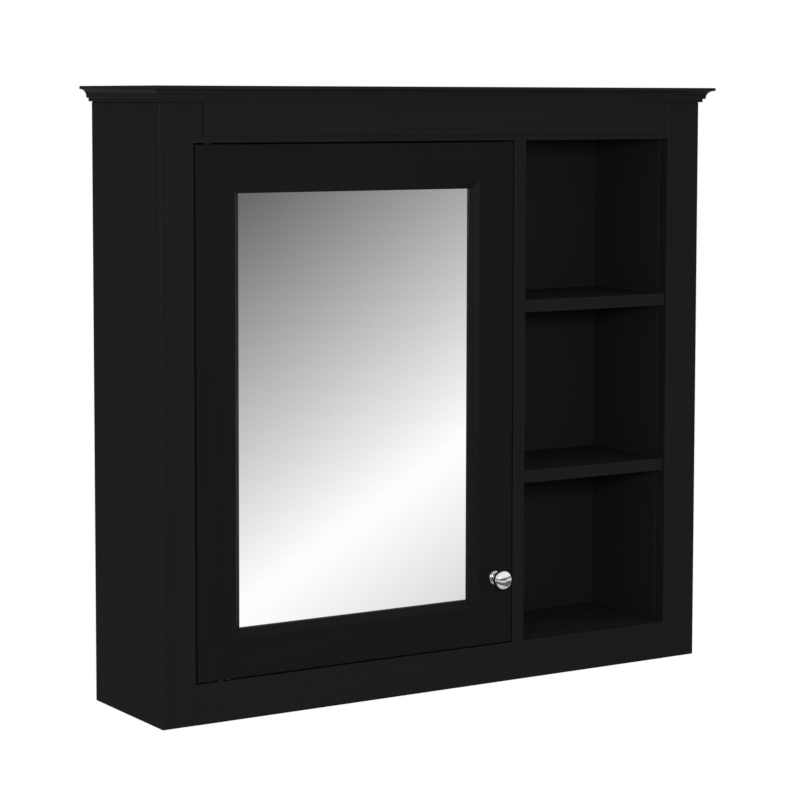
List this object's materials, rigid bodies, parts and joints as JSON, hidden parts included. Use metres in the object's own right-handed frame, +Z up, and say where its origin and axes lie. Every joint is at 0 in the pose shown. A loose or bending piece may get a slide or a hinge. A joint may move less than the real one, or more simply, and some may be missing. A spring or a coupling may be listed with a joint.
{
  "type": "medicine cabinet with mirror",
  "caption": "Black wall cabinet with a moulded top, an inset mirror door with a round knob and open shelves beside it.",
  "frame": {"origin": "centre of the upper hanging rail's back face, on the wall plane, midway across the case", "axes": "+Z up, +X to the right of a person facing the front, +Y into the wall"},
  "size_m": [0.762, 0.1915, 0.6969],
  "materials": {
    "black_lacquer": "satin black lacquer on board",
    "door_lacquer": "satin black lacquer on board",
    "inner_lacquer": "matt black lacquer on board",
    "back_board": "black faced hardboard",
    "mirror": "silvered float glass",
    "polished_chrome": "polished",
    "black_plastic": "moulded",
    "black_steel": "blackened steel",
    "zinc_steel": "bright zinc plated"
  },
  "bodies": {
    "cabinet": {"back_panel": "back_board", "bay_liner": "black_lacquer", "bay_shelf_lower": "black_lacquer", "bay_shelf_upper": "black_lacquer", "bottom_rail": "black_lacquer", "case_bottom": "black_lacquer", "case_top": "black_lacquer", "catch_body": "black_plastic", "catch_screw_1": "zinc_steel", "catch_screw_2": "zinc_steel", "divider": "black_lacquer", "frieze_panel": "black_lacquer", "hanger_plate_left": "zinc_steel", "hanger_plate_right": "zinc_steel", "hanger_screw_left_1": "zinc_steel", "hanger_screw_left_2": "zinc_steel", "hanger_screw_right_1": "zinc_steel", "hanger_screw_right_2": "zinc_steel", "hanging_rail_lower": "back_board", "hanging_rail_upper": "back_board", "header_rail": "black_lacquer", "pivot_pin_lower": "black_steel", "pivot_pin_upper": "black_steel", "pivot_plate_case_lower": "black_steel", "pivot_plate_case_upper": "black_steel", "pivot_screw_case_lower_1": "zinc_steel", "pivot_screw_case_lower_2": "zinc_steel", "pivot_screw_case_upper_1": "zinc_steel", "pivot_screw_case_upper_2": "zinc_steel", "shelf_lower": "inner_lacquer", "shelf_pin_lower_left_back": "zinc_steel", "shelf_pin_lower_left_front": "zinc_steel", "shelf_pin_lower_right_back": "zinc_steel", "shelf_pin_lower_right_front": "zinc_steel", "shelf_pin_upper_left_back": "zinc_steel", "shelf_pin_upper_left_front": "zinc_steel", "shelf_pin_upper_right_back": "zinc_steel", "shelf_pin_upper_right_front": "zinc_steel", "shelf_upper": "inner_lacquer", "side_left": "black_lacquer", "side_right": "black_lacquer", "stile_left": "black_lacquer", "stile_right": "black_lacquer", "top_board": "black_lacquer"},
    "door": {"door_rail_bottom": "door_lacquer", "door_rail_top": "door_lacquer", "door_stile_left": "door_lacquer", "door_stile_right": "door_lacquer", "knob": "polished_chrome", "knob_screw": "zinc_steel", "mirror_backing": "back_board", "mirror_pane": "mirror", "pivot_plate_door_lower": "black_steel", "pivot_plate_door_upper": "black_steel", "pivot_screw_door_lower_1": "zinc_steel", "pivot_screw_door_lower_2": "zinc_steel", "pivot_screw_door_upper_1": "zinc_steel", "pivot_screw_door_upper_2": "zinc_steel", "strike_plate": "zinc_steel", "strike_screw": "zinc_steel"}
  },
  "joints": [
    {"name": "door_hinge", "type": "hinge", "parent": "cabinet", "child": "door", "pos_m": [-0.3052, -0.159, -0.29945], "axis": [0, 0, -1], "range_deg": [0, 135]}
  ]
}
